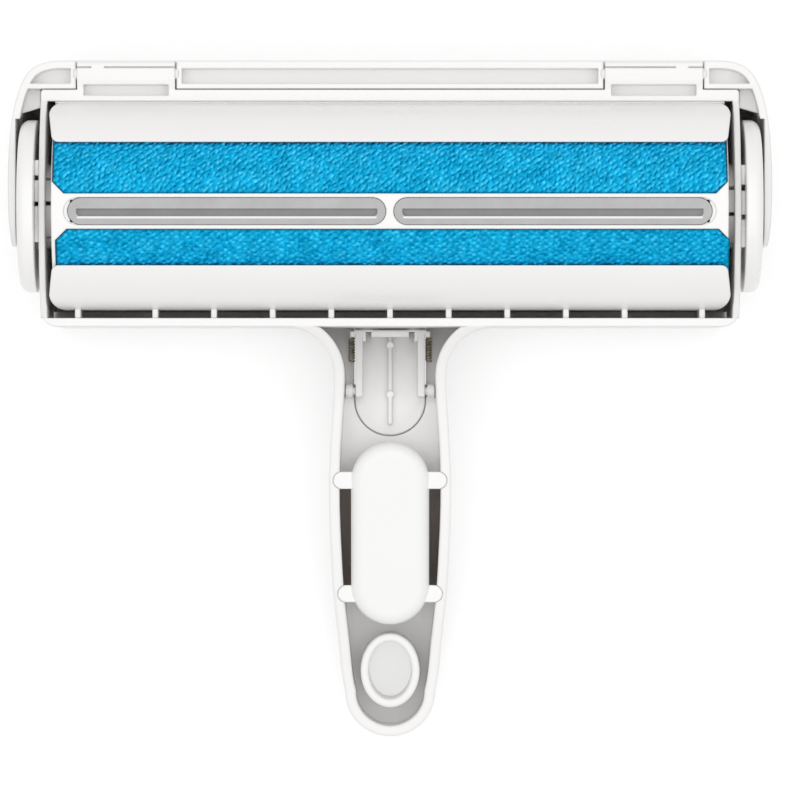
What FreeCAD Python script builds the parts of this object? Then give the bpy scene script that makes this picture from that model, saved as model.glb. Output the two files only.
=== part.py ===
import FreeCAD, Part
import math
import os

# Pet hair removal brush, lying on its back with the roller side up.
# X runs along the roller, Y from the handle (minus) to the hinged edge (plus), Z up.
# The origin is on the rest plane, straight below the middle of the drum axis.
# All sizes are in millimetres.

os.makedirs("parts", exist_ok=True)
Vec = FreeCAD.Vector

# Drum, its strips and its place
DRUM_R = 24.2
DRUM_OVER_REST = 11.8
DRUM_WALL = 2.0
DRUM_HALF = 83.3
DRUM_DOME = 0.55
DRUM_END_WALL = 1.6
DRUM_SHELL_ANGLE = 100.0
HUB_WALL = 2.0
HUB_LENGTH = 8.0
REST_TURN = 4.7
BAND_HALF_ANGLE = 10.3
STRIP_END_ANGLE = 72.0
STRIP_THICK = 1.0
STRIP_SINK = 0.8
STRIP_END_GAP = 0.3
STRIP_CORNER = 2.9
STRIP_SHIFT = 0.7
GRIP_STRIP_W = 6.5
GRIP_STRIP_END = 4.125
GRIP_STRIP_DEEP = 1.5
GRIP_STRIP_PROUD = 0.25
GRIP_GROOVE_W = 2.6
GRIP_GROOVE_DEEP = 0.8
GRIP_BRIDGE = 2.1
GRIP_RING = 1.1
GRIP_RING_DEEP = 0.4
CRESCENT_R = 0.45
DRUM_RIB_DEEP = 4.0
DRUM_RIBS_A_SIDE = 2
CRESCENT_OUT = 0.72
CRESCENT_BACK = 0.28
FIT = 0.15

# Guards over the drum
GUARD_CLEAR = 0.6
GUARD_T = 1.2
GUARD_LIP_ANGLE = 35.8
GUARD_TAIL_ANGLE = 95.0
GUARD_PAST_DRUM = 1.1
GUARD_LIP_DRAW = 0.9
GUARD_LIP_CORNER = 1.8
GUARD_TAIL_CORNER = 3.6

# Housing walls round the drum
HEAD_PAST_GUARD = 0.9
SIDE_WALL = 1.6
FRONT_WALL = 1.6
FRONT_FLANGE = 2.85
FRONT_FLANGE_DEEP = 4.0
REAR_WALL = 2.1
GUARD_TO_FRONT = 0.05
GUARD_TO_REAR = 2.0
WALL_TOP_OVER_AXIS = 6.0
CREST_OVER_AXIS = 16.0
WALL_UNDER_AXIS = 22.0
HEAD_CORNER = 4.0
HEAD_FRONT_CORNER = 0.8
RIB_T = 1.4
RIB_END_GAP = 7.5
RIB_SHARE = 0.188
RIB_STEPS = 4
RIB_UNDER_TOP = 1.5
RIB_ROOT_SHARE = 0.9
RIB_DEEP = 11.0
FRONT_RIB_UNDER_AXIS = 1.0

# End caps with their snap collars
CAP_R = 21.5
CAP_T = 4.2
CAP_EDGE = 2.4
CAP_DOME = 0.5
CAP_FLAT_R = 4.0
CAP_GAP = 1.1
COLLAR_R = 10.5
COLLAR_WALL = 1.5
COLLAR_RUN = 0.05
COLLAR_FINGERS = 4
COLLAR_FINGER_ANGLE = 37.0
COLLAR_SLOT = 1.0
COLLAR_LIP = 0.6
COLLAR_LIP_LONG = 1.4
CLICK_GAP = 0.2
COLLAR_TURN_LEFT = 20.8
COLLAR_TURN_RIGHT = 5.8

# Lid over the dust chamber
LID_WALL = 1.6
LID_CHEEK_WALL = 1.9
LID_CHEEK_END_Y = -9.9
LID_CHEEK_DRAW = 0.8
LID_WIDEST_Y = 5.0
LID_FRONT_IN = 13.2
LID_CORNER = ((10.0, 0.3), (5.9, 2.1), (3.1, 6.5), (1.2, 13.6), (0.3, 22.0))
LID_CAP_GAP = 0.6
LID_GAP = 0.4
LID_LIP_GAP = 0.25
LID_BELLY_R = 24.0
LID_TAIL_R = 30.0
LID_TAIL_START_Y = -14.0
LID_LIP_WALL = 1.3
LID_CHANNEL_DEEP = 4.1
LID_CHANNEL_FLOOR = 1.2
LID_EDGE_R = 6.0
LID_CHEEK_CORNER = 7.0
LID_LIP_UP = 0.9
CAP_CLEAR = 0.8
LID_SHELF_UNDER_TOP = 5.0
LID_SHELF_T = 1.2
LID_SHELF_INNER_Y = 24.6
LID_SHELF_OUTER_Y = 22.3
NOTCH_DROP = 1.5

# Hinge between the housing's front wall and the lid
HINGE_OUT = 4.0
HINGE_OVER_AXIS = 4.6
HINGE_COVER = 3.2
HINGE_PIN_R = 1.4
HINGE_RUN = 0.05
HINGE_PIN_LONG = 3.0
EAR_LONG = 24.4
EAR_END_GAP = 7.4
EAR_SIDE_GAP = 0.35
EAR_R = 2.6
EAR_WEB = 1.65
EAR_SILL = 1.4
EAR_WINDOW = 2.7
EAR_WINDOW_DEEP = 3.2
EAR_DROP = 3.0
EAR_NOSE = 1.2
EAR_SLOPE_SHARE = 0.6
EAR_SEAM = 1.85
EAR_SEAM_W = 0.3
EAR_SEAM_DEEP = 0.8
EAR_BRIDGE = 5.2
EAR_BRIDGE_W = 3.2

# Handle
HANDLE_LONG = 103.7
HANDLE_WALL = 2.7
HANDLE_FLOOR = 2.0
FLARE_R = 12.0
NECK_HALF = 14.1
HANDLE_EDGE_R = 3.0
HANDLE_RIM_R = 0.7
HANDLE_BACK = ((11.9, 11.6), (25.9, 15.0), (43.9, 13.8), (65.9, 7.2), (81.9, 1.6), (92.9, -0.3))
HANDLE_TIP_BACK = 1.8
HANDLE_RIM = ((6.4, 37.0), (15.9, 32.0), (29.9, 28.8), (54.9, 25.0), (79.9, 18.5))
HANDLE_TIP_RIM = 13.5
HANDLE_SIDE = ((15.0, 28.3), (15.4, 44.5), (14.9, 57.9), (14.25, 68.3), (12.9, 80.8), (11.4, 91.9))
HANDLE_TIP_BEND = (7.9, 100.5)
HANDLE_TIP_WAY = -0.3
EYELET_BACK = 86.8
EYELET_W = 10.8
EYELET_L = 14.6
EYELET_WALL = 2.1
EYELET_EDGE_R = 0.8
EYELET_BELOW_RIM = 0.5

# Thumb insert in the handle
INSERT_BACK = 51.9
INSERT_W = 19.7
INSERT_L = 46.2
INSERT_T = 1.6
INSERT_CROWN = 2.0
INSERT_DEEP = 5.0
EAR_PAIR_BACK = (38.5, 67.2)
INSERT_EAR_W = 4.3
INSERT_EAR_REACH = (14.3, 13.2)
INSERT_EAR_T = 1.6
INSERT_EDGE_R = 3.2
EAR_FIT = 0.06
BACKING_T = 1.2
BACKING_FIT = 0.1

# Release button
BUTTON_HALF = 8.75
BUTTON_T = 1.6
BUTTON_END_BACK = 27.1
BUTTON_GAP = 0.35
BUTTON_PIVOT_BACK = 16.0
BUTTON_PIVOT_Z = 17.6
BUTTON_PIN_R = 1.0
BUTTON_PIN_REACH = 11.4
BUTTON_RUN = 0.05
BUTTON_RIB = 1.8
BUTTON_SPINE = 1.0
BUTTON_BAR_W = 1.5
BRACKET_T = 1.8
BRACKET_GAP = 0.3
BRACKET_LONG = 1.7
WINDOW_TOP = 22.0
BUTTON_FRONT_GAP = 0.9
BUTTON_BAR_HALF = 4.8
BUTTON_BAR_TOP = 16.5
BUTTON_HOOK_IN = 0.8
BUTTON_HOOK_LONG = 2.6
BUTTON_HOOK_OUT = 1.4
BUTTON_HOOK_T = 3.0
BUTTON_ARM_PAST = 1.5
SPINE_END_BACK = 24.4
SPINE_UP = 2.0
SPINE_NODE_OVER = 0.2
SPINE_NODE_BACK = (4.5, 16.9)
LATCH_TAB_HALF = 9.0
LATCH_TAB_T = 1.5
LATCH_TAB_REACH = 0.6
LATCH_TAB_Z = 9.0

# Sizes that follow from those above
AXIS_Z = DRUM_R + DRUM_OVER_REST
FABRIC_R = DRUM_R - STRIP_SINK + STRIP_THICK
STRIP_HALF = DRUM_HALF - STRIP_END_GAP
GRIP_STRIP_L = DRUM_HALF - GRIP_BRIDGE / 2 - GRIP_STRIP_END
GUARD_IN_R = DRUM_R + GUARD_CLEAR
GUARD_R = GUARD_IN_R + GUARD_T
GUARD_HALF = DRUM_HALF + GUARD_PAST_DRUM
HEAD_INNER_X = GUARD_HALF + HEAD_PAST_GUARD
HEAD_OUTER_X = HEAD_INNER_X + SIDE_WALL
FRONT_IN_Y = GUARD_R + GUARD_TO_FRONT
FRONT_OUT_Y = FRONT_IN_Y + FRONT_FLANGE
REAR_IN_Y = -(GUARD_R + GUARD_TO_REAR)
REAR_OUT_Y = REAR_IN_Y - REAR_WALL
WALL_TOP = AXIS_Z + WALL_TOP_OVER_AXIS
WALL_CREST = AXIS_Z + CREST_OVER_AXIS
WALL_BOTTOM = AXIS_Z - WALL_UNDER_AXIS
RIB_TOP = WALL_TOP - RIB_UNDER_TOP
RIB_END_X = HEAD_INNER_X - RIB_END_GAP
RIB_PLACES = [step * RIB_SHARE * RIB_END_X for step in range(RIB_STEPS + 1)] + [RIB_END_X]
CAP_IN_X = HEAD_OUTER_X + CAP_GAP
CAP_OUT_X = CAP_IN_X + CAP_T
HINGE_Y = FRONT_OUT_Y + HINGE_OUT
HINGE_Z = AXIS_Z + HINGE_OVER_AXIS
EAR_OUTER_X = HEAD_INNER_X - EAR_END_GAP
EAR_INNER_X = EAR_OUTER_X - EAR_LONG
LID_TOP = HINGE_Z + LID_LIP_UP
LID_FRONT_Y = HINGE_Y + HINGE_COVER
LID_SIDE_X = CAP_OUT_X + CAP_DOME + LID_CAP_GAP + LID_CHEEK_WALL
LID_FRONT_X = LID_SIDE_X - LID_FRONT_IN
LID_CHEEK_END_X = LID_SIDE_X - LID_CHEEK_DRAW
HANDLE_END_Y = REAR_OUT_Y - HANDLE_LONG
EYELET_Y = REAR_OUT_Y - EYELET_BACK
INSERT_Y = REAR_OUT_Y - INSERT_BACK
EAR_PAIR_Y = [REAR_OUT_Y - back for back in EAR_PAIR_BACK]
BUTTON_END_Y = REAR_OUT_Y - BUTTON_END_BACK
BUTTON_PIVOT_Y = REAR_OUT_Y - BUTTON_PIVOT_BACK
SPINE_END_Y = REAR_OUT_Y - SPINE_END_BACK
SPINE_NODE_Y = [REAR_OUT_Y - back for back in SPINE_NODE_BACK]

# Numbers that belong to no one piece
ROUND_OFF = 1 - math.sqrt(0.5)
PAST = 1.0
WELL_PAST = 5.0
BITE = 0.5
CLOSE = 0.05
DOME_SHARE = 0.75
FAR = 400.0


def line(a, b):
    return Part.LineSegment(a, b).toShape()


def arc(a, middle, b):
    return Part.Arc(a, middle, b).toShape()


def curve(points, start=None, end=None):
    """A smooth curve through the points, with end directions where they are given."""
    spline = Part.BSplineCurve()
    if start is None:
        spline.interpolate(points)
    else:
        spline.interpolate(Points=points, InitialTangent=start, FinalTangent=end)
    return spline.toShape()


def extrude(edges, way):
    return Part.Face(Part.Wire(edges)).extrude(way)


def box(x0, x1, y0, y1, z0, z1):
    return Part.makeBox(x1 - x0, y1 - y0, z1 - z0, Vec(x0, y0, z0))


def rod(radius, x0, x1, y=0.0, z=AXIS_Z):
    """A round bar along X."""
    return Part.makeCylinder(radius, x1 - x0, Vec(x0, y, z), Vec(1, 0, 0))


def post(radius, x, y, z0, z1):
    return Part.makeCylinder(radius, z1 - z0, Vec(x, y, z0))


def joined(shapes):
    return shapes[0].multiFuse(shapes[1:]).removeSplitter() if len(shapes) > 1 else shapes[0]


def mirrored(shape):
    return shape.mirror(Vec(0, 0, 0), Vec(1, 0, 0))


def both_sides(shape):
    return [shape, mirrored(shape)]


def polygon(points, way):
    wire = Part.makePolygon([*points, points[0]])
    return Part.Face(wire).extrude(way)


def rounded(shape, radius, wanted):
    edges = [edge for edge in shape.Edges if wanted(edge)]
    return shape.makeFillet(radius, edges)


def middle_of(edge):
    return edge.valueAt((edge.FirstParameter + edge.LastParameter) / 2)


def round_point(x, radius, degrees):
    """A point round the drum axis, with the angle taken from straight up towards plus Y."""
    turn = math.radians(degrees)
    return Vec(x, radius * math.sin(turn), AXIS_Z + radius * math.cos(turn))


def ring_sector(inner, outer, start, end, x0, x1):
    """Part of a tube round the drum axis, between two angles."""
    half = (start + end) / 2
    edges = [
        arc(round_point(x0, outer, start), round_point(x0, outer, half), round_point(x0, outer, end)),
        line(round_point(x0, outer, end), round_point(x0, inner, end)),
        arc(round_point(x0, inner, end), round_point(x0, inner, half), round_point(x0, inner, start)),
        line(round_point(x0, inner, start), round_point(x0, outer, start)),
    ]
    return extrude(edges, Vec(x1 - x0, 0, 0))


def slot_block(x0, x1, y, width, z0, z1):
    """An upright block with half round ends along X."""
    r = width / 2
    edges = [
        line(Vec(x0 + r, y - r, z0), Vec(x1 - r, y - r, z0)),
        arc(Vec(x1 - r, y - r, z0), Vec(x1, y, z0), Vec(x1 - r, y + r, z0)),
        line(Vec(x1 - r, y + r, z0), Vec(x0 + r, y + r, z0)),
        arc(Vec(x0 + r, y + r, z0), Vec(x0, y, z0), Vec(x0 + r, y - r, z0)),
    ]
    return extrude(edges, Vec(0, 0, z1 - z0))


def turned_profile(points, arcs=()):
    """A solid turned about the drum axis from (x, radius) points; arcs[i] is a middle point after point i."""
    arcs = dict(arcs)
    places = [Vec(x, 0, AXIS_Z + r) for x, r in points]
    edges = []
    for i, start in enumerate(places):
        end = places[(i + 1) % len(places)]
        if i in arcs:
            x, r = arcs[i]
            edges.append(arc(start, Vec(x, 0, AXIS_Z + r), end))
        else:
            edges.append(line(start, end))
    face = Part.Face(Part.Wire(edges))
    return face.revolve(Vec(0, 0, AXIS_Z), Vec(1, 0, 0), 360)


def at_rest(shape):
    """Turns a drum piece from the middle of its travel to where it lies at rest."""
    turned = shape.copy()
    turned.rotate(Vec(0, 0, AXIS_Z), Vec(1, 0, 0), REST_TURN)
    return turned


def strip_solid(inner, outer, extra):
    """The front strip of lint fabric, or its pocket when extra is more than nothing."""
    half = STRIP_HALF + extra
    edge = outer * math.sin(math.radians(BAND_HALF_ANGLE)) - extra
    far = outer + PAST
    z0 = AXIS_Z
    outline = [
        Vec(-half, far, z0), Vec(-half, edge + STRIP_CORNER, z0), Vec(STRIP_CORNER - half, edge, z0),
        Vec(half - STRIP_CORNER, edge, z0), Vec(half, edge + STRIP_CORNER, z0), Vec(half, far, z0),
    ]
    tube = ring_sector(inner, outer, 0, STRIP_END_ANGLE + extra, -half, half)
    return tube.common(polygon(outline, Vec(0, 0, outer + PAST)))


def fabric_strip_front():
    return at_rest(strip_solid(DRUM_R - STRIP_SINK, FABRIC_R, 0))


def flipped(shape):
    return shape.mirror(Vec(0, 0, 0), Vec(0, 1, 0))


def fabric_strip_rear():
    strip = flipped(strip_solid(DRUM_R - STRIP_SINK, FABRIC_R, 0))
    strip.translate(Vec(STRIP_SHIFT, 0, 0))
    return at_rest(strip)


def grip_strip_right():
    x0 = GRIP_BRIDGE / 2
    x1 = x0 + GRIP_STRIP_L
    top = DRUM_R + GRIP_STRIP_PROUD
    blank = slot_block(x0, x1, 0, GRIP_STRIP_W, AXIS_Z + DRUM_R - GRIP_STRIP_DEEP, AXIS_Z + top + PAST)
    strip = blank.common(rod(top, x0, x1))
    inset = (GRIP_STRIP_W - GRIP_GROOVE_W) / 2
    floor = AXIS_Z + top - GRIP_GROOVE_DEEP
    groove = slot_block(x0 + inset, x1 - inset, 0, GRIP_GROOVE_W, floor, floor + WELL_PAST)
    return at_rest(strip.cut(groove))


def drum_end():
    """One end wall with its hub, turned about the drum axis."""
    bore = COLLAR_R + COLLAR_RUN
    x0 = DRUM_HALF - DRUM_END_WALL
    points = [
        (x0, DRUM_R), (x0, bore + HUB_WALL), (DRUM_HALF - HUB_LENGTH, bore + HUB_WALL),
        (DRUM_HALF - HUB_LENGTH, bore), (DRUM_HALF + DRUM_DOME, bore), (DRUM_HALF, DRUM_R),
    ]
    half_r = (bore + DRUM_R) / 2
    return turned_profile(points, {4: (DRUM_HALF + DOME_SHARE * DRUM_DOME, half_r)})


def drum_core():
    inner = DRUM_R - DRUM_WALL
    x0 = DRUM_HALF - DRUM_END_WALL
    shell = ring_sector(inner, DRUM_R, -DRUM_SHELL_ANGLE, DRUM_SHELL_ANGLE, -x0, x0)
    pieces = [shell, *both_sides(drum_end())]
    for place in range(-DRUM_RIBS_A_SIDE, DRUM_RIBS_A_SIDE + 1):
        x = place * x0 / (DRUM_RIBS_A_SIDE + 1)
        pieces.append(ring_sector(inner - DRUM_RIB_DEEP, inner + BITE, -DRUM_SHELL_ANGLE, DRUM_SHELL_ANGLE,
                                  x - RIB_T / 2, x + RIB_T / 2))
    core = joined(pieces)
    pocket = strip_solid(DRUM_R - STRIP_SINK, DRUM_R + PAST, FIT)
    rear_pocket = flipped(pocket)
    rear_pocket.translate(Vec(STRIP_SHIFT, 0, 0))
    cuts = [pocket, rear_pocket]
    floor = AXIS_Z + DRUM_R - GRIP_STRIP_DEEP
    end_x = GRIP_BRIDGE / 2 + GRIP_STRIP_L
    pocket_w = GRIP_STRIP_W + 2 * FIT
    strip_pocket = slot_block(GRIP_BRIDGE / 2 - FIT, end_x + FIT, 0, pocket_w, floor, floor + WELL_PAST)
    ring_z = AXIS_Z + DRUM_R - GRIP_RING_DEEP
    ring = slot_block(end_x - GRIP_STRIP_W, end_x + GRIP_RING, 0, pocket_w, ring_z, ring_z + WELL_PAST)
    cuts += both_sides(strip_pocket)
    cuts += both_sides(ring)
    end_r = GRIP_STRIP_W / 2
    for way in (-1, 1):
        y = way * end_r * CRESCENT_OUT
        x = end_x - end_r * CRESCENT_BACK
        cuts += both_sides(post(CRESCENT_R, x, y, floor - DRUM_WALL, floor + WELL_PAST))
    return at_rest(core.cut(cuts))


def rounded_plate(x0, x1, y0, y1, r0, r1, z0, z1):
    """An upright block, half width x0 with corner radius r0 at y0, half width x1 with radius r1 at y1."""
    bend = ROUND_OFF
    right = [
        line(Vec(0, y0, z0), Vec(x0 - r0, y0, z0)),
        arc(Vec(x0 - r0, y0, z0), Vec(x0 - bend * r0, y0 + bend * r0, z0), Vec(x0, y0 + r0, z0)),
        line(Vec(x0, y0 + r0, z0), Vec(x1, y1 - r1, z0)),
        arc(Vec(x1, y1 - r1, z0), Vec(x1 - bend * r1, y1 - bend * r1, z0), Vec(x1 - r1, y1, z0)),
        line(Vec(x1 - r1, y1, z0), Vec(0, y1, z0)),
    ]
    half = extrude([*right, line(Vec(0, y1, z0), Vec(0, y0, z0))], Vec(0, 0, z1 - z0))
    return joined([half, mirrored(half)])


def front_guard():
    lip_y = GUARD_R * math.sin(math.radians(GUARD_LIP_ANGLE))
    bar = ring_sector(GUARD_IN_R, GUARD_R, GUARD_LIP_ANGLE - WELL_PAST, GUARD_TAIL_ANGLE, -GUARD_HALF, GUARD_HALF)
    top = AXIS_Z + GUARD_R
    return bar.common(rounded_plate(GUARD_HALF - GUARD_LIP_DRAW, GUARD_HALF, lip_y, GUARD_R, GUARD_LIP_CORNER,
                                    GUARD_TAIL_CORNER, AXIS_Z - GUARD_R, top))


def rear_guard():
    return flipped(front_guard())


def end_cap(turn):
    """The right end cap, with its collar fingers set at the angle given."""
    tip = DRUM_HALF - HUB_LENGTH - CLICK_GAP - COLLAR_LIP_LONG
    lip = tip + COLLAR_LIP_LONG
    out_x = CAP_OUT_X
    inner = COLLAR_R - COLLAR_WALL
    round_off = CAP_EDGE * ROUND_OFF
    points = [
        (CAP_IN_X, 0), (CAP_IN_X, inner), (tip, inner), (tip, COLLAR_R), (lip - COLLAR_LIP, COLLAR_R + COLLAR_LIP),
        (lip, COLLAR_R + COLLAR_LIP), (lip, COLLAR_R), (CAP_IN_X, COLLAR_R), (CAP_IN_X, CAP_R),
        (out_x - CAP_EDGE, CAP_R), (out_x, CAP_R - CAP_EDGE), (out_x + CAP_DOME, CAP_FLAT_R), (out_x + CAP_DOME, 0),
    ]
    dome_r = (CAP_FLAT_R + CAP_R - CAP_EDGE) / 2
    bends = {9: (out_x - round_off, CAP_R - round_off), 10: (out_x + DOME_SHARE * CAP_DOME, dome_r)}
    cap = turned_profile(points, bends)
    slots = []
    for finger in range(COLLAR_FINGERS):
        for way in (-1, 1):
            angle = turn + finger * 360 / COLLAR_FINGERS + way * COLLAR_FINGER_ANGLE / 2
            half = math.degrees(COLLAR_SLOT / 2 / COLLAR_R)
            slots.append(ring_sector(inner - PAST, COLLAR_R + 2 * COLLAR_LIP, angle - half, angle + half,
                                     tip - PAST, CAP_IN_X))
    return cap.cut(slots)


def height_on(points, y):
    """The height of the smooth curve through (y, z) points at one place along Y."""
    spline = Part.BSplineCurve()
    spline.interpolate([Vec(0, *point) for point in points])
    low, high = spline.FirstParameter, spline.LastParameter
    for _ in range(40):
        mid = (low + high) / 2
        if spline.value(mid).y > y:
            low = mid
        else:
            high = mid
    return spline.value(low).z


def tail_height(y):
    """The height of the head's back where it rises towards the neck."""
    return LID_TAIL_R - math.sqrt(LID_TAIL_R ** 2 - (LID_TAIL_START_Y - y) ** 2)


def handle_back():
    points = [(REAR_OUT_Y - back, z) for back, z in HANDLE_BACK]
    return [(REAR_OUT_Y, tail_height(REAR_OUT_Y)), *points, (HANDLE_END_Y, HANDLE_TIP_BACK)]


def handle_rim():
    points = [(REAR_OUT_Y - back, z) for back, z in HANDLE_RIM]
    return [(REAR_OUT_Y, WALL_TOP), *points, (HANDLE_END_Y, HANDLE_TIP_RIM)]


def handle_slice(low, lift_low, high, lift_high, half_x):
    """What lies between two curves of (y, z) points, across the whole width."""
    x = -half_x
    lows = [Vec(x, y, z + lift_low) for y, z in low]
    highs = [Vec(x, y, z + lift_high) for y, z in high]
    edges = [curve(lows), line(lows[-1], highs[-1]), curve(highs), line(highs[0], lows[0])]
    return extrude(edges, Vec(2 * half_x, 0, 0))


def handle_plan(inset, start_y, z0, z1):
    """The outline of neck and handle seen from above, drawn in by the inset."""
    centre_x = NECK_HALF + FLARE_R
    centre_y = REAR_OUT_Y - FLARE_R
    radius = FLARE_R + inset
    top_x = centre_x - math.sqrt(radius ** 2 - FLARE_R ** 2)
    full = math.acos(FLARE_R / radius) if inset else 0.0
    mid_angle = math.radians(90) / 2 + full / 2
    mid = Vec(centre_x - radius * math.sin(mid_angle), centre_y + radius * math.cos(mid_angle), z0)
    side = [(NECK_HALF, centre_y)] + [(x, REAR_OUT_Y - back) for x, back in HANDLE_SIDE]
    side = [Vec(x - inset, y, z0) for x, y in side]
    bend_x, bend_y = HANDLE_TIP_BEND[0], REAR_OUT_Y - HANDLE_TIP_BEND[1]
    tip_bend = Vec(bend_x - inset * math.sqrt(0.5), bend_y + inset * math.sqrt(0.5), z0)
    tip = Vec(0, HANDLE_END_Y + inset, z0)
    shoulder = Vec(top_x, REAR_OUT_Y, z0)
    start = [line(Vec(0, start_y, z0), Vec(top_x, start_y, z0))]
    if start_y > REAR_OUT_Y:
        start.append(line(Vec(top_x, start_y, z0), shoulder))
    right = [
        *start,
        arc(shoulder, mid, side[0]),
        curve(side, Vec(0, -1, 0), Vec(HANDLE_TIP_WAY, -1, 0)),
        arc(side[-1], tip_bend, tip),
    ]
    half = Part.Face(Part.Wire([*right, line(tip, Vec(0, start_y, z0))])).extrude(Vec(0, 0, z1 - z0))
    return joined([half, mirrored(half)])


def handle_shell():
    """Neck and handle: a long shell, open towards the roller side."""
    tall = WALL_TOP + WELL_PAST
    wide = 2 * NECK_HALF + FLARE_R
    into_wall = REAR_OUT_Y + REAR_WALL / 2
    outer = handle_plan(0, into_wall, -WELL_PAST, tall)
    bulk = handle_slice(handle_back(), 0, handle_rim(), 0, wide)
    root = box(-wide, wide, REAR_OUT_Y, into_wall, tail_height(REAR_OUT_Y), WALL_TOP)
    outer = outer.common(joined([bulk, root]))
    back = handle_back()

    def back_edge(edge):
        middle = middle_of(edge)
        ends = edge.Vertexes
        if len(ends) < 2 or middle.y > REAR_OUT_Y - PAST:
            return False
        run = Vec(ends[0].X - ends[1].X, ends[0].Y - ends[1].Y, 0).Length
        return run > PAST and middle.z < height_on(back, middle.y) + PAST

    outer = rounded(outer, HANDLE_EDGE_R, back_edge)
    inner = handle_plan(HANDLE_WALL, REAR_OUT_Y, -WELL_PAST, tall)
    hollow = inner.common(handle_slice(handle_back(), HANDLE_FLOOR, handle_rim(), WELL_PAST, wide))
    rim = handle_rim()

    def rim_edge(edge):
        middle = middle_of(edge)
        return middle.y < REAR_OUT_Y - CLOSE and abs(middle.z - height_on(rim, middle.y)) < CLOSE

    shell = rounded(outer.cut(hollow), HANDLE_RIM_R, rim_edge)
    return shell.common(box(-FAR, FAR, -FAR, FAR, 0, FAR))


def head_walls():
    """The four walls round the drum, with the flange, the crests and the ribs."""
    outer = rounded_plate(HEAD_OUTER_X, HEAD_OUTER_X, REAR_OUT_Y, FRONT_OUT_Y, HEAD_CORNER, HEAD_FRONT_CORNER,
                          0, WALL_TOP)
    below = box(-FAR, FAR, REAR_IN_Y, FAR, -PAST, WALL_BOTTOM)
    flange_z = WALL_TOP - FRONT_FLANGE_DEEP
    hollow = box(-HEAD_INNER_X, HEAD_INNER_X, REAR_IN_Y, FRONT_IN_Y, -PAST, WALL_TOP + PAST)
    front_hollow = box(-HEAD_INNER_X, HEAD_INNER_X, 0, FRONT_OUT_Y - FRONT_WALL, -PAST, flange_z)
    walls = outer.common(belly(0, REAR_OUT_Y - PAST, WALL_TOP, 2 * HEAD_OUTER_X))
    walls = walls.cut(below).cut(hollow).cut(front_hollow)
    x0 = HEAD_INNER_X
    y0, y1 = REAR_IN_Y, FRONT_IN_Y
    crest = [
        line(Vec(x0, y1, WALL_TOP), Vec(x0, y0, WALL_TOP)),
        arc(Vec(x0, y0, WALL_TOP), Vec(x0, (y0 + y1) / 2, WALL_CREST), Vec(x0, y1, WALL_TOP)),
    ]
    pieces = [walls, *both_sides(extrude(crest, Vec(SIDE_WALL, 0, 0)))]
    root_y = GUARD_IN_R * RIB_ROOT_SHARE
    low = RIB_TOP - RIB_DEEP
    front_top = AXIS_Z - FRONT_RIB_UNDER_AXIS
    for place in RIB_PLACES:
        for x in {place, -place}:
            x_low = x - RIB_T / 2
            x_high = x + RIB_T / 2
            pieces.append(box(x_low, x_high, REAR_IN_Y, -root_y, low, RIB_TOP))
            pieces.append(box(x_low, x_high, root_y, FRONT_OUT_Y - FRONT_WALL / 2, low, front_top))
    return joined(pieces).cut(rod(GUARD_R, -GUARD_HALF - PAST, GUARD_HALF + PAST))


def hinge_ear():
    """The right hinge ear: a barrel on a block with a window, in front of the front wall."""
    x0, x1 = EAR_INNER_X, EAR_OUTER_X
    foot_y = FRONT_OUT_Y - BITE
    low = HINGE_Z - EAR_DROP
    top = HINGE_Z + EAR_R
    nose = EAR_NOSE * ROUND_OFF
    x = x0
    face = [
        line(Vec(x, foot_y, low), Vec(x, foot_y, WALL_TOP)),
        line(Vec(x, foot_y, WALL_TOP), Vec(x, FRONT_OUT_Y, WALL_TOP)),
        line(Vec(x, FRONT_OUT_Y, WALL_TOP), Vec(x, HINGE_Y - EAR_R * EAR_SLOPE_SHARE, top)),
        line(Vec(x, HINGE_Y - EAR_R * EAR_SLOPE_SHARE, top), Vec(x, LID_FRONT_Y - EAR_NOSE, top)),
        arc(Vec(x, LID_FRONT_Y - EAR_NOSE, top), Vec(x, LID_FRONT_Y - nose, top - nose),
            Vec(x, LID_FRONT_Y, top - EAR_NOSE)),
        line(Vec(x, LID_FRONT_Y, top - EAR_NOSE), Vec(x, LID_FRONT_Y, low)),
        line(Vec(x, LID_FRONT_Y, low), Vec(x, foot_y, low)),
    ]
    block = extrude(face, Vec(x1 - x0, 0, 0))
    seam_y = LID_FRONT_Y - EAR_SEAM
    seam = box(x0 - PAST, x1 + PAST, seam_y, seam_y + EAR_SEAM_W, top - EAR_SEAM_DEEP, top + PAST)
    bridge_x = x1 - EAR_BRIDGE
    half = EAR_BRIDGE_W / 2
    bridge = box(bridge_x - half, bridge_x + half, seam_y - PAST, seam_y + PAST, low, FAR)
    bore = HINGE_PIN_R + HINGE_RUN
    depth = HINGE_PIN_LONG + EAR_SIDE_GAP
    bores = [rod(bore, x0 - PAST, x0 + depth, HINGE_Y, HINGE_Z), rod(bore, x1 - depth, x1 + PAST, HINGE_Y, HINGE_Z)]
    return block.cut([seam.cut(bridge), *bores])


def ear_window():
    """The recess between the right hinge ear and the front wall."""
    sill_y = FRONT_IN_Y + EAR_SILL
    return box(EAR_INNER_X + EAR_WEB, EAR_OUTER_X - EAR_WEB, sill_y, sill_y + EAR_WINDOW,
               WALL_TOP - EAR_WINDOW_DEEP, FAR)


def button_outline(half, end_y, start_y, z0, z1):
    """A tongue with a round end."""
    round_y = end_y + half
    body = [
        line(Vec(-half, start_y, z0), Vec(half, start_y, z0)),
        line(Vec(half, start_y, z0), Vec(half, round_y, z0)),
        arc(Vec(half, round_y, z0), Vec(0, end_y, z0), Vec(-half, round_y, z0)),
        line(Vec(-half, round_y, z0), Vec(-half, start_y, z0)),
    ]
    return extrude(body, Vec(0, 0, z1 - z0))


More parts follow.
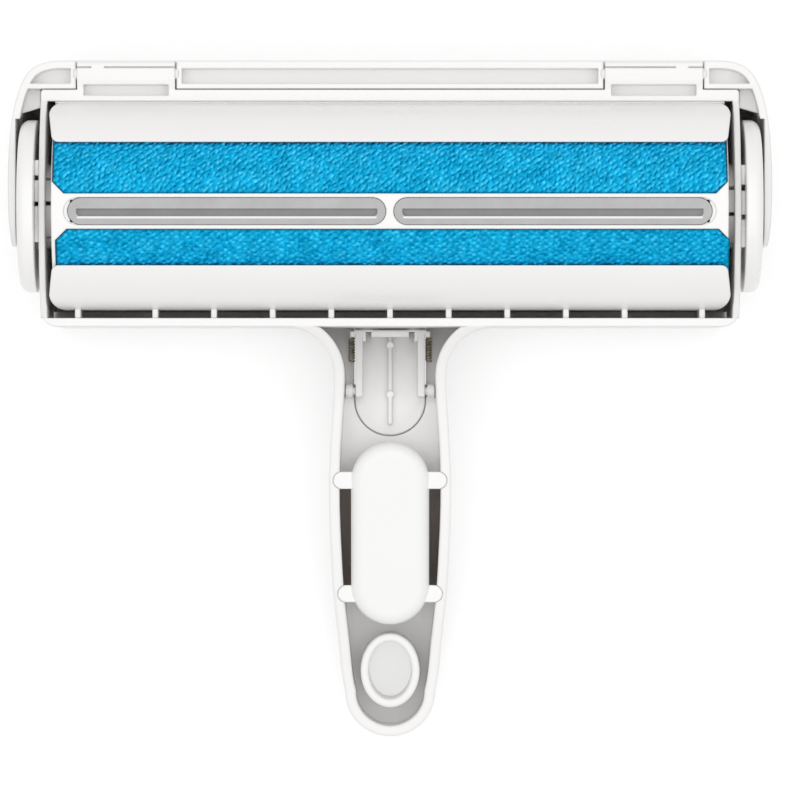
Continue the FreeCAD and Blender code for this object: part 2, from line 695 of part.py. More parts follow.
def pivot_bracket():
    """The right bracket that carries the button's pin, round over the pin."""
    x0 = BUTTON_HALF + BUTTON_GAP + BRACKET_GAP
    x1 = x0 + BRACKET_T
    back = handle_back()
    rear = BUTTON_PIVOT_Y - BRACKET_LONG
    front = BUTTON_PIVOT_Y + BRACKET_LONG
    sunk = HANDLE_FLOOR / 2
    foot = polygon([
        Vec(x0, rear, height_on(back, rear) + sunk), Vec(x0, rear, BUTTON_PIVOT_Z),
        Vec(x0, front, BUTTON_PIVOT_Z), Vec(x0, front, height_on(back, front) + sunk),
    ], Vec(BRACKET_T, 0, 0))
    plate = joined([foot, rod(BRACKET_LONG, x0, x1, BUTTON_PIVOT_Y, BUTTON_PIVOT_Z)])
    bore = BUTTON_PIN_R + BUTTON_RUN
    return plate.cut(rod(bore, x0 - PAST, x1 + PAST, BUTTON_PIVOT_Y, BUTTON_PIVOT_Z))


def eyelet_post(grow, z0, z1):
    """The hanging eyelet as an oval block, grown all round."""
    long_r = EYELET_L / 2 + grow
    wide_r = EYELET_W / 2 + grow
    oval = Part.Ellipse(Vec(0, EYELET_Y + long_r, z0), Vec(wide_r, EYELET_Y, z0), Vec(0, EYELET_Y, z0))
    return extrude([oval.toShape()], Vec(0, 0, z1 - z0))


def insert_ear(y, reach, grow, z0, z1):
    """One ear pair of the handle insert as a bar with round ends, grown all round."""
    return slot_block(-reach - grow, reach + grow, y, INSERT_EAR_W + 2 * grow, z0, z1)


def housing():
    handle = handle_shell()
    body = joined([head_walls(), handle, *both_sides(hinge_ear())])
    rim = handle_rim()
    back = handle_back()
    ring_top = height_on(rim, EYELET_Y) - EYELET_BELOW_RIM
    ring = eyelet_post(EYELET_WALL, height_on(back, EYELET_Y) + PAST, ring_top).cut(eyelet_post(0, -PAST, FAR))
    ring = rounded(ring, EYELET_EDGE_R, lambda edge: middle_of(edge).z > ring_top - CLOSE)
    body = joined([body, ring, *both_sides(pivot_bracket())])
    window = button_outline(BUTTON_HALF + BUTTON_GAP, BUTTON_END_Y - BUTTON_GAP, REAR_OUT_Y, -PAST, WINDOW_TOP)
    tab_slot_x = LATCH_TAB_HALF + LID_GAP
    tab_top = LATCH_TAB_Z + LATCH_TAB_T + LID_GAP
    tab_slot = box(-tab_slot_x, tab_slot_x, REAR_OUT_Y - CLOSE, REAR_IN_Y + PAST, -PAST, tab_top)
    cuts = [window, tab_slot, eyelet_post(0, -PAST, FAR), *both_sides(ear_window())]
    for y, reach in zip(EAR_PAIR_Y, INSERT_EAR_REACH):
        top = height_on(rim, y)
        cuts.append(insert_ear(y, reach, EAR_FIT, top - INSERT_EAR_T, top + WELL_PAST))
    hole = COLLAR_R + COLLAR_RUN
    cuts.append(rod(hole, -HEAD_OUTER_X - PAST, HEAD_OUTER_X + PAST))
    return body.cut(cuts)


def lid_side_points(inset):
    """The right edge of the lid seen from above, from the front corner back, drawn in by the inset."""
    points = [(LID_SIDE_X - x, LID_FRONT_Y - y) for x, y in LID_CORNER]
    points = [(LID_FRONT_X, LID_FRONT_Y), *points, (LID_SIDE_X, LID_WIDEST_Y), (LID_CHEEK_END_X, LID_CHEEK_END_Y)]
    if not inset:
        return points
    drawn_in = []
    for i, (x, y) in enumerate(points):
        x0, y0 = points[max(i - 1, 0)]
        x1, y1 = points[min(i + 1, len(points) - 1)]
        if i == 0:
            x1, y1 = x0 + 1, y0
        length = math.hypot(x1 - x0, y1 - y0)
        drawn_in.append((x + inset * (y1 - y0) / length, y - inset * (x1 - x0) / length))
    return drawn_in


def lid_plan(inset, z0, z1):
    """The outline of the lid's wide front part seen from above, drawn in by the inset."""
    side = [Vec(x, y, z0) for x, y in lid_side_points(inset)]
    front = Vec(0, side[0].y, z0)
    rear = Vec(0, side[-1].y, z0)
    half = extrude([line(front, side[0]), curve(side), line(side[-1], rear), line(rear, front)],
                   Vec(0, 0, z1 - z0))
    return joined([half, mirrored(half)])


def belly(lift, rear_y, top, half_x):
    """The lid's side view, filled up to the top height, with its back drawn in by the lift."""
    x = -half_x
    front = LID_FRONT_Y - lift
    radius = LID_BELLY_R - lift
    centre_y = LID_FRONT_Y - LID_BELLY_R
    bend = radius * math.sqrt(0.5)
    tail_r = LID_TAIL_R - lift
    rise = LID_TAIL_START_Y - rear_y
    rear_z = LID_TAIL_R - math.sqrt(tail_r ** 2 - rise ** 2)
    half_z = LID_TAIL_R - math.sqrt(tail_r ** 2 - (rise / 2) ** 2)
    edges = [
        line(Vec(x, front, top), Vec(x, front, LID_BELLY_R)),
        arc(Vec(x, front, LID_BELLY_R), Vec(x, centre_y + bend, LID_BELLY_R - bend), Vec(x, centre_y, lift)),
        line(Vec(x, centre_y, lift), Vec(x, LID_TAIL_START_Y, lift)),
        arc(Vec(x, LID_TAIL_START_Y, lift), Vec(x, LID_TAIL_START_Y - rise / 2, half_z), Vec(x, rear_y, rear_z)),
        line(Vec(x, rear_y, rear_z), Vec(x, rear_y, top)),
        line(Vec(x, rear_y, top), Vec(x, front, top)),
    ]
    return extrude(edges, Vec(2 * half_x, 0, 0))


def lid():
    wide = 2 * LID_SIDE_X
    rear_y = REAR_IN_Y + LID_GAP
    seam_z = WALL_BOTTOM - LID_GAP
    cheeks = lid_plan(0, -PAST, LID_TOP).common(belly(0, LID_CHEEK_END_Y - WELL_PAST, LID_TOP, wide))
    rear = box(-HEAD_OUTER_X, HEAD_OUTER_X, rear_y, 0, -PAST, seam_z).common(belly(0, rear_y - PAST, LID_TOP, wide))

    def back_corner(edge):
        middle = middle_of(edge)
        return abs(middle.x) > HEAD_OUTER_X - PAST and middle.z < LID_BELLY_R and edge.BoundBox.YLength > 2 * PAST

    def cheek_corner(edge):
        middle = middle_of(edge)
        return abs(middle.y - LID_CHEEK_END_Y) < CLOSE and abs(middle.z - LID_TOP) < CLOSE

    cheeks = rounded(cheeks, LID_CHEEK_CORNER, cheek_corner)
    cheeks = rounded(cheeks, LID_EDGE_R, back_corner)
    rear = rounded(rear, LID_EDGE_R / 2, back_corner)
    outer = joined([cheeks, rear])
    over = LID_TOP + PAST
    cavity = lid_plan(LID_CHEEK_WALL, -PAST, over)
    cavity = cavity.common(belly(LID_WALL, LID_CHEEK_END_Y - WELL_PAST, over, wide))
    cheek_end = box(-wide, wide, -FAR, LID_CHEEK_END_Y + LID_WALL, -PAST, FAR)
    cavity = rounded(cavity, LID_EDGE_R - LID_WALL, back_corner).cut(cheek_end)
    rear_cavity = box(-HEAD_INNER_X, HEAD_INNER_X, rear_y + LID_WALL, PAST, -PAST, over)
    rear_cavity = rear_cavity.common(belly(LID_WALL, rear_y, over, wide))
    cap_room = rod(CAP_R + CAP_CLEAR, HEAD_INNER_X, LID_SIDE_X - LID_CHEEK_WALL)
    channel_z = LID_TOP - LID_CHANNEL_DEEP
    lip_y = FRONT_OUT_Y + LID_LIP_GAP
    flange = box(-wide, wide, lip_y, FAR, channel_z - LID_CHANNEL_FLOOR, FAR)
    cavity = joined([cavity, rear_cavity]).cut(flange)
    channel_y = lip_y + LID_LIP_WALL
    pocket = lid_plan(LID_CHEEK_WALL, channel_z, over)
    pocket = pocket.cut(box(-wide, wide, -FAR, channel_y, 0, FAR))
    end_x0 = EAR_INNER_X - EAR_SIDE_GAP
    end_x1 = EAR_OUTER_X + EAR_SIDE_GAP
    ends = box(end_x0 - LID_LIP_WALL, end_x1 + LID_LIP_WALL, 0, FAR, 0, FAR)
    pocket = pocket.cut(both_sides(ends))
    notch = box(end_x0, end_x1, FRONT_OUT_Y, FAR, HINGE_Z - EAR_DROP - NOTCH_DROP, FAR)
    wall_room = box(HEAD_INNER_X - LID_GAP, HEAD_OUTER_X + LID_GAP, REAR_OUT_Y, lip_y, seam_z, FAR)
    cuts = [cavity, pocket, *both_sides(cap_room), *both_sides(wall_room), *both_sides(notch)]
    shell = outer.cut(cuts)
    shelf_x0 = HEAD_OUTER_X + LID_GAP
    shelf_z = LID_TOP - LID_SHELF_UNDER_TOP
    shelf = polygon([
        Vec(shelf_x0, LID_SHELF_INNER_Y, shelf_z), Vec(shelf_x0, lip_y + BITE, shelf_z),
        Vec(LID_SIDE_X, lip_y + BITE, shelf_z), Vec(LID_SIDE_X, LID_SHELF_OUTER_Y, shelf_z),
    ], Vec(0, 0, -LID_SHELF_T))
    shelf = shelf.common(lid_plan(LID_CHEEK_WALL / 2, 0, LID_TOP))
    tab = box(-LATCH_TAB_HALF, LATCH_TAB_HALF, REAR_OUT_Y - LATCH_TAB_REACH, rear_y + LID_WALL, LATCH_TAB_Z,
              LATCH_TAB_Z + LATCH_TAB_T)
    pins = []
    for x0, x1 in ((end_x0 - BITE, EAR_INNER_X + HINGE_PIN_LONG), (EAR_OUTER_X - HINGE_PIN_LONG, end_x1 + BITE)):
        pins += both_sides(rod(HINGE_PIN_R, x0, x1, HINGE_Y, HINGE_Z))
    return joined([shell, tab, *both_sides(shelf), *pins])


def release_button():
    start_y = REAR_OUT_Y - BUTTON_FRONT_GAP
    outline = button_outline(BUTTON_HALF, BUTTON_END_Y, start_y, -PAST, FAR)
    plate = outline.common(handle_slice(handle_back(), 0, handle_back(), BUTTON_T, 2 * BUTTON_HALF))
    back = handle_back()
    wall_end = start_y - BUTTON_BAR_W
    pieces = [plate]
    low = height_on(back, start_y) + BUTTON_T / 2
    pieces.append(box(-BUTTON_BAR_HALF, BUTTON_BAR_HALF, wall_end, start_y, low, BUTTON_BAR_TOP))
    x1 = BUTTON_HALF
    x0 = x1 - BUTTON_RIB
    arm_end = BUTTON_PIVOT_Y - BUTTON_ARM_PAST * BUTTON_PIN_R
    arm = [
        Vec(x0, start_y, low), Vec(x0, start_y, BUTTON_BAR_TOP), Vec(x0, arm_end, BUTTON_PIVOT_Z + 2 * BUTTON_PIN_R),
        Vec(x0, arm_end, height_on(back, arm_end) + BUTTON_T / 2),
    ]
    pieces += both_sides(polygon(arm, Vec(BUTTON_RIB, 0, 0)))
    hook_z = BUTTON_BAR_TOP - BUTTON_HOOK_T
    hook = box(x0 - BUTTON_HOOK_IN, x0 + BITE, start_y - BUTTON_HOOK_LONG, start_y, hook_z, BUTTON_BAR_TOP)
    claw = box(x1 - BITE, x1 + BUTTON_HOOK_OUT, wall_end, start_y, hook_z, BUTTON_BAR_TOP)
    pieces += both_sides(hook)
    pieces += both_sides(claw)
    spine = box(-BUTTON_SPINE / 2, BUTTON_SPINE / 2, SPINE_END_Y, wall_end + BITE, 0, FAR)
    pieces.append(spine.common(handle_slice(back, BUTTON_T / 2, back, BUTTON_T + SPINE_UP, BUTTON_HALF)))
    for y in SPINE_NODE_Y:
        floor = height_on(back, y)
        pieces.append(post(BUTTON_SPINE, 0, y, floor + BUTTON_T / 2, floor + BUTTON_T + SPINE_UP + SPINE_NODE_OVER))
    pieces += both_sides(rod(BUTTON_PIN_R, x0, BUTTON_PIN_REACH, BUTTON_PIVOT_Y, BUTTON_PIVOT_Z))
    return joined(pieces)


def grip_insert():
    rim = handle_rim()
    half = INSERT_L / 2
    slope = (height_on(rim, EAR_PAIR_Y[0]) - height_on(rim, EAR_PAIR_Y[1])) / (EAR_PAIR_Y[0] - EAR_PAIR_Y[1])
    front_y = INSERT_Y + half
    rear_y = INSERT_Y - half

    def level(y):
        return height_on(rim, EAR_PAIR_Y[0]) + slope * (y - EAR_PAIR_Y[0])

    def capsule(inset, bottom, top):
        end = INSERT_W / 2 - inset
        z0 = 0.0
        outline = [
            line(Vec(-end, rear_y + INSERT_W / 2, z0), Vec(-end, front_y - INSERT_W / 2, z0)),
            arc(Vec(-end, front_y - INSERT_W / 2, z0), Vec(0, front_y - inset, z0), Vec(end, front_y - INSERT_W / 2, z0)),
            line(Vec(end, front_y - INSERT_W / 2, z0), Vec(end, rear_y + INSERT_W / 2, z0)),
            arc(Vec(end, rear_y + INSERT_W / 2, z0), Vec(0, rear_y + inset, z0), Vec(-end, rear_y + INSERT_W / 2, z0)),
        ]
        blank = extrude(outline, Vec(0, 0, FAR))
        x = -INSERT_W
        far_front = front_y + WELL_PAST
        far_rear = rear_y - WELL_PAST
        side = [
            Vec(x, far_front, level(far_front) + bottom), Vec(x, far_front, level(far_front) + top),
            Vec(x, far_rear, level(far_rear) + top), Vec(x, far_rear, level(far_rear) + bottom),
        ]
        return blank.common(polygon(side, Vec(2 * INSERT_W, 0, 0)))

    def top_edge(crown):
        def wanted(edge):
            middle = middle_of(edge)
            return abs(middle.z - level(middle.y) - crown) < BITE
        return wanted

    body = capsule(0, -INSERT_DEEP, INSERT_CROWN)
    body = rounded(body, INSERT_EDGE_R, top_edge(INSERT_CROWN))
    hollow = capsule(INSERT_T, -INSERT_DEEP - 1, INSERT_CROWN - INSERT_T)
    hollow = rounded(hollow, INSERT_EDGE_R - INSERT_T, top_edge(INSERT_CROWN - INSERT_T))
    ears = []
    for y, reach in zip(EAR_PAIR_Y, INSERT_EAR_REACH):
        top = height_on(rim, y)
        ears.append(insert_ear(y, reach, 0, top - INSERT_EAR_T, top))
    return joined([body, *ears]).cut(hollow)


def grip_backing():
    """The dark plate on the handle's floor, under the insert and between its ears."""
    front_y, rear_y = EAR_PAIR_Y
    plan = handle_plan(HANDLE_WALL + BACKING_FIT, REAR_OUT_Y, -WELL_PAST, WALL_TOP)
    back = handle_back()
    plate = plan.common(handle_slice(back, HANDLE_FLOOR, back, HANDLE_FLOOR + BACKING_T, 2 * NECK_HALF))
    return plate.common(box(-FAR, FAR, rear_y, front_y, -PAST, FAR))


NODES = {
    "housing": housing,
    "front_guard": front_guard,
    "rear_guard": rear_guard,
    "end_cap_right": lambda: end_cap(COLLAR_TURN_RIGHT),
    "end_cap_left": lambda: mirrored(end_cap(COLLAR_TURN_LEFT)),
    "drum_core": drum_core,
    "fabric_strip_front": fabric_strip_front,
    "fabric_strip_rear": fabric_strip_rear,
    "grip_strip_right": grip_strip_right,
    "grip_strip_left": lambda: mirrored(grip_strip_right()),
    "lid": lid,
    "release_button": release_button,
    "grip_insert": grip_insert,
    "grip_backing": grip_backing,
}

for name, make in NODES.items():
    shape = make()
    print(name, shape.isValid(), len(shape.Solids), round(shape.Volume, 1), shape.BoundBox)
    shape.exportStep(f"parts/{name}.step")
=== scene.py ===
import math

import bmesh
import bpy
import numpy as np
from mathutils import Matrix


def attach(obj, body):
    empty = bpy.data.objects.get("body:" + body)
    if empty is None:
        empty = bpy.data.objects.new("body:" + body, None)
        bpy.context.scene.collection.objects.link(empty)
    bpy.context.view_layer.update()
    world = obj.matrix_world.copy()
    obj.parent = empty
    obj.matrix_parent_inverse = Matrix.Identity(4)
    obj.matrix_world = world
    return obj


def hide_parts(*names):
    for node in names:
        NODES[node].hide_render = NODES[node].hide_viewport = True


# Pet hair removal brush, seen from straight above with its handle towards the bottom of the picture.
# Lengths named here are in millimetres, in the same frame as the solids, and become metres in the meshes.
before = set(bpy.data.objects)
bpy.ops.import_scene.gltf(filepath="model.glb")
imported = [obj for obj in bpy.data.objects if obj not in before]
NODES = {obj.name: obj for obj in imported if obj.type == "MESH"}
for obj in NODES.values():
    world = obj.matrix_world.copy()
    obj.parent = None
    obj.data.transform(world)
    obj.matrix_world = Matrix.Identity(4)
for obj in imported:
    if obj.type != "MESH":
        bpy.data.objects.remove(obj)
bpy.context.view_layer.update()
MM = 0.001

# Drum and fabric sizes, as in the solids
AXIS_Z = 36.0
FABRIC_R = 24.4
POCKET_R = 23.45
REST_TURN = 4.7
STRIP_START = 10.3
STRIP_END = 72.0
STRIP_HALF = 83.0
STRIP_CORNER = 2.9
REAR_SHIFT = 0.7


# Helpers
def linear(code):
    """An sRGB hex colour as linear RGBA."""
    parts = [int(code[i:i + 2], 16) / 255 for i in (1, 3, 5)]
    parts = [c / 12.92 if c <= 0.04045 else ((c + 0.055) / 1.055) ** 2.4 for c in parts]
    return (*parts, 1.0)


def new_material(name):
    """An empty node material and its tree."""
    material = bpy.data.materials.new(name)
    material.use_nodes = True
    material.node_tree.nodes.clear()
    return material, material.node_tree


def add(tree, kind, links=(), **values):
    """A node with its properties and socket values set; links are (socket, output) pairs that feed it."""
    node = tree.nodes.new("ShaderNode" + kind)
    for key, value in values.items():
        name = key.replace("_", " ")
        if hasattr(node, key) and not isinstance(getattr(node, key), bpy.types.bpy_prop_collection):
            setattr(node, key, value)
        else:
            node.inputs[name].default_value = value
    for socket, output in links:
        tree.links.new(output, node.inputs[socket])
    return node


def ramp(tree, factor, stops):
    """A colour ramp with (place, linear colour) stops."""
    node = add(tree, "ValToRGB", [("Fac", factor)])
    while len(node.color_ramp.elements) < len(stops):
        node.color_ramp.elements.new(0.5)
    for element, (place, colour) in zip(node.color_ramp.elements, stops):
        element.position = place
        element.color = colour
    return node.outputs["Color"]


def start(name, primitive, **sizes):
    """A new primitive with its name, alone in the selection."""
    bpy.ops.object.select_all(action="DESELECT")
    primitive(**sizes)
    piece = bpy.context.object
    piece.name = name
    return piece


# Materials. A noise of scale s has features of about 1000 / s millimetres.
def moulded_abs(name, colour, roughness, grain):
    """Moulded ABS: white and satin, with softly rounded edges and flow marks about 36 mm long.

    The mould's spark grain is under 0.1 mm, and is drawn at 0.4 mm with a 2.4 mm waviness so that it shows.
    """
    material, tree = new_material(name)
    place = add(tree, "TexCoord").outputs["Object"]
    flow = add(tree, "TexNoise", [("Vector", place)], Scale=28.0, Detail=3.0, Roughness=0.5)
    fine = add(tree, "TexNoise", [("Vector", place)], Scale=2600.0, Detail=2.0, Roughness=0.6)
    peel = add(tree, "TexNoise", [("Vector", place)], Scale=420.0, Detail=2.0, Roughness=0.5)
    base = linear(colour)
    worn = tuple(c * 0.97 for c in base[:3]) + (1.0,)
    tint = ramp(tree, flow.outputs["Fac"], [(0.1, worn), (0.9, base)])
    shine = add(tree, "MapRange", [("Value", flow.outputs["Fac"])], To_Min=roughness - 0.08,
                To_Max=roughness + 0.08)
    soft = add(tree, "Bevel", samples=6, Radius=0.0006)
    bump = add(tree, "Bump", [("Height", peel.outputs["Fac"]), ("Normal", soft.outputs["Normal"])],
               Strength=0.12, Distance=0.00008)
    bump = add(tree, "Bump", [("Height", fine.outputs["Fac"]), ("Normal", bump.outputs["Normal"])],
               Strength=grain, Distance=0.00003)
    shader = add(tree, "BsdfPrincipled", [("Base Color", tint), ("Roughness", shine.outputs["Result"]),
                                          ("Normal", bump.outputs["Normal"])], IOR=1.53)
    add(tree, "OutputMaterial", [("Surface", shader.outputs["BSDF"])])
    return material


def soft_grip(name, colour):
    """Thermoplastic elastomer: matt, with a dense 0.3 mm grain and darker patches of about 6 mm."""
    material, tree = new_material(name)
    place = add(tree, "TexCoord").outputs["Object"]
    cloud = add(tree, "TexNoise", [("Vector", place)], Scale=160.0, Detail=4.0, Roughness=0.6)
    fine = add(tree, "TexVoronoi", [("Vector", place)], Scale=3400.0)
    base = linear(colour)
    low = tuple(c * 0.88 for c in base[:3]) + (1.0,)
    tint = ramp(tree, cloud.outputs["Fac"], [(0.3, low), (0.7, base)])
    bump = add(tree, "Bump", [("Height", fine.outputs["Distance"])], Strength=0.25, Distance=0.00004)
    shader = add(tree, "BsdfPrincipled", [("Base Color", tint), ("Normal", bump.outputs["Normal"])],
                 Roughness=0.62, IOR=1.5)
    add(tree, "OutputMaterial", [("Surface", shader.outputs["BSDF"])])
    return material


def drawn_steel(name, colour, low):
    """Drawn spring wire: dull bright steel, with 0.2 mm die marks and brownish places of about 1 mm."""
    material, tree = new_material(name)
    place = add(tree, "TexCoord").outputs["Object"]
    cloud = add(tree, "TexNoise", [("Vector", place)], Scale=900.0, Detail=3.0, Roughness=0.6)
    fine = add(tree, "TexNoise", [("Vector", place)], Scale=5200.0, Detail=2.0, Roughness=0.5)
    tint = ramp(tree, cloud.outputs["Fac"], [(0.3, linear(low)), (0.7, linear(colour))])
    bump = add(tree, "Bump", [("Height", fine.outputs["Fac"])], Strength=0.3, Distance=0.00002)
    shader = add(tree, "BsdfPrincipled", [("Base Color", tint), ("Normal", bump.outputs["Normal"])],
                 Metallic=0.85, Roughness=0.5)
    add(tree, "OutputMaterial", [("Surface", shader.outputs["BSDF"])])
    return material


def lint_fabric(name):
    """Knitted polyester lint fabric: bright blue leaning tufts with narrow gaps between them, sunk in the
    mesh and darkened with painted shade, painted highlight on the tufts' tops and painted shade along the
    strip's edges.

    Height, tuft and the painted edge shade come from the mesh. Fibres are finer than 0.1 mm and are drawn at
    0.3 mm to show.
    """
    material, tree = new_material(name)
    place = add(tree, "TexCoord").outputs["Object"]
    height = add(tree, "Attribute", attribute_name="height").outputs["Fac"]
    edge_shade_mask = add(tree, "Attribute", attribute_name="edge_shade_mask").outputs["Fac"]
    tuft = add(tree, "Attribute", attribute_name="tuft").outputs["Fac"]
    cloud = add(tree, "TexNoise", [("Vector", place)], Scale=210.0, Detail=2.0, Roughness=0.5)
    fibre = add(tree, "TexNoise", [("Vector", place)], Scale=3200.0, Detail=3.0, Roughness=0.7)
    # Painted shade and painted highlight: the colour runs from dark blue where the pile is low to pale cyan
    # where it stands highest
    colour = ramp(tree, height, [(0.0, linear("#00608C")), (0.28, linear("#0092C4")),
                                 (0.6, linear("#1CB8EA")), (1.0, linear("#5CDCFF"))])
    # Painted shade: where ambient occlusion within 1.3 mm finds the fabric sheltered, in the gaps between
    # tufts and under the guards' lips, the colour falls towards the pile's height value
    occlusion_shade = add(tree, "AmbientOcclusion", samples=8, Distance=0.0013).outputs["AO"]
    painted_shade_level = add(tree, "MapRange", [("Value", occlusion_shade), ("To Min", height)], From_Min=0.30, From_Max=0.70,
                To_Max=1.0).outputs["Result"]
    # Painted shade: the colour darkens to 40 % along the strip's edges
    painted_edge_shade = add(tree, "MapRange", [("Value", edge_shade_mask)], To_Min=1.0, To_Max=0.40).outputs["Result"]
    shade = add(tree, "MapRange", [("Value", tuft)], To_Min=0.90, To_Max=1.10).outputs["Result"]
    patch = add(tree, "MapRange", [("Value", cloud.outputs["Fac"])], From_Min=0.3, From_Max=0.7, To_Min=0.92,
                To_Max=1.08).outputs["Result"]
    level = add(tree, "Math", [(0, shade), (1, patch)], operation="MULTIPLY").outputs["Value"]
    level = add(tree, "Math", [(0, level), (1, painted_shade_level)], operation="MULTIPLY").outputs["Value"]
    level = add(tree, "Math", [(0, level), (1, painted_edge_shade)], operation="MULTIPLY").outputs["Value"]
    tint = add(tree, "VectorMath", [(0, colour), ("Scale", level)], operation="SCALE").outputs["Vector"]
    bump = add(tree, "Bump", [("Height", fibre.outputs["Fac"])], Strength=0.4, Distance=0.0001)
    shader = add(tree, "BsdfPrincipled", [("Base Color", tint), ("Normal", bump.outputs["Normal"])],
                 Roughness=0.9, Specular_IOR_Level=0.05, IOR=1.45)
    add(tree, "OutputMaterial", [("Surface", shader.outputs["BSDF"])])
    return material


WHITE = "#F8F7F6"
abs_body = moulded_abs("moulded_abs_body", WHITE, 0.38, 0.25)
abs_smooth = moulded_abs("moulded_abs_smooth", "#FCFBFA", 0.30, 0.12)
abs_insert = moulded_abs("moulded_abs_insert", "#F9F9F8", 0.42, 0.30)
elastomer = soft_grip("thermoplastic_elastomer_grey", "#BEBEBE")
# A darker copy of the grey elastomer, laid on the grip grooves' sunk floors as painted shade
elastomer_painted_shade = soft_grip("thermoplastic_elastomer_grey_painted_shade", "#8E8E8E")
elastomer_dark = soft_grip("thermoplastic_elastomer_dark", "#80756E")
fabric = lint_fabric("knitted_polyester_lint_fabric")
spring_wire = drawn_steel("drawn_spring_steel", "#D8CEBA", "#8C8270")

for names, material in (
        (("housing", "lid", "release_button"), abs_body),
        (("front_guard", "rear_guard", "drum_core", "end_cap_left", "end_cap_right"), abs_smooth),
        (("grip_insert",), abs_insert),
        (("grip_backing",), elastomer_dark),
        (("grip_strip_left", "grip_strip_right"), elastomer),
        (("fabric_strip_front", "fabric_strip_rear"), fabric),
):
    for name in names:
        slots = NODES[name].data.materials
        if not slots:
            slots.append(material)
        for i in range(len(slots)):
            slots[i] = material


# Lint fabric strips: a tuft's half length, half width and turn from the strip's run, then how high the
# ground between the tufts lies, how far a tuft stands over it and how far the slot beside it sinks
TUFT_PITCH = 2.36
TUFT_ROW = 0.82
FRONT_PILE = (0.56, 0.38, 50.0, 0.46, 0.42, 0.62)
REAR_PILE = (0.50, 0.42, -14.0, 0.39, 0.40, 0.30)
PILE_HIGH = 0.44
PILE_FOOT = 0.18
GRID_STEP = 0.22

# How far single tufts stray, in pitches, rows and degrees, and how much their length varies
STRAY_ALONG = 0.18
STRAY_ACROSS = 0.32
STRAY_TURN = 26.0
LENGTH_SPREAD = 0.25

# The slot beside each tuft, in tuft widths, and two uneven layers over it all, the second 8 times as coarse
SLOT_PLACE = 1.15
SLOT_WIDE = 0.45
SPECKLE = 0.48
SPECKLE_HIGH = 0.20
DRIFT_HIGH = 0.07

# Rolled edge, the width of the painted shade along the strip's edges, and the run over which the strip's cut
# corners ease in, in millimetres
EDGE_ROLL = 0.5
EDGE_SINK = 0.25
EDGE_SHADE_WIDTH = 0.8
CORNER_RUN = 9.0


def value_noise(along, across, cell, rng):
    """Smooth random values from -1 to 1, with the given cell in millimetres."""
    rows, cols = 97, 389
    table = rng.uniform(-1, 1, (rows, cols))
    u, v = along / cell, across / cell
    u0, v0 = np.floor(u).astype(int), np.floor(v).astype(int)
    fu, fv = u - u0, v - v0
    fu, fv = fu * fu * (3 - 2 * fu), fv * fv * (3 - 2 * fv)

    def at(dv, du):
        return table[(v0 + dv) % rows, (u0 + du) % cols]

    near = at(0, 0) * (1 - fu) + at(0, 1) * fu
    far = at(1, 0) * (1 - fu) + at(1, 1) * fu
    return near * (1 - fv) + far * fv


def tuft_field(along, across, pile, seed):
    """Height and shade of the tufts at places given along the strip and across it, both in millimetres."""
    half_long, half_wide, tuft_turn, ground, stand, sink = pile
    rng = np.random.default_rng(seed)
    rows, cols = 64, 128
    jitter = rng.uniform(-1, 1, (5, rows, cols))
    tone = rng.uniform(0, 1, (rows, cols))
    speckle = value_noise(along, across, SPECKLE, rng)
    drift = value_noise(along, across, 8 * SPECKLE, rng)
    row0 = np.floor(across / TUFT_ROW).astype(int)
    raised = np.zeros_like(along)
    sunk = np.zeros_like(along)
    shade = np.full_like(along, 0.5)
    for dr in (-2, -1, 0, 1, 2):
        row = row0 + dr
        offset = (row % 2) * TUFT_PITCH / 2
        col0 = np.floor((along - offset) / TUFT_PITCH).astype(int)
        for dc in (-1, 0, 1):
            col = col0 + dc
            pick = (row % rows, col % cols)
            x = along - offset - (col + 0.5 + STRAY_ALONG * jitter[0][pick]) * TUFT_PITCH
            y = across - (row + 0.5 + STRAY_ACROSS * jitter[1][pick]) * TUFT_ROW
            turn = np.radians(tuft_turn + STRAY_TURN * jitter[2][pick])
            reach = half_long * (1 + LENGTH_SPREAD * jitter[3][pick])
            a = (x * np.cos(turn) + y * np.sin(turn)) / reach
            c = (y * np.cos(turn) - x * np.sin(turn)) / half_wide
            bell = np.exp(-(a ** 2 + c ** 2) ** 1.4) * (0.75 + 0.25 * jitter[4][pick])
            beside = (c + SLOT_PLACE) / SLOT_WIDE
            slot = np.exp(-((a / 1.1) ** 2 + beside ** 2) ** 1.5) * (0.8 + 0.2 * jitter[0][pick])
            take = bell > raised
            raised = np.where(take, bell, raised)
            shade = np.where(take, tone[pick], shade)
            sunk = np.maximum(sunk, slot)
    height = ground + stand * raised - sink * sunk * (1 - raised)
    height = height + SPECKLE_HIGH * speckle + DRIFT_HIGH * drift
    return np.clip(height, 0, 1), shade


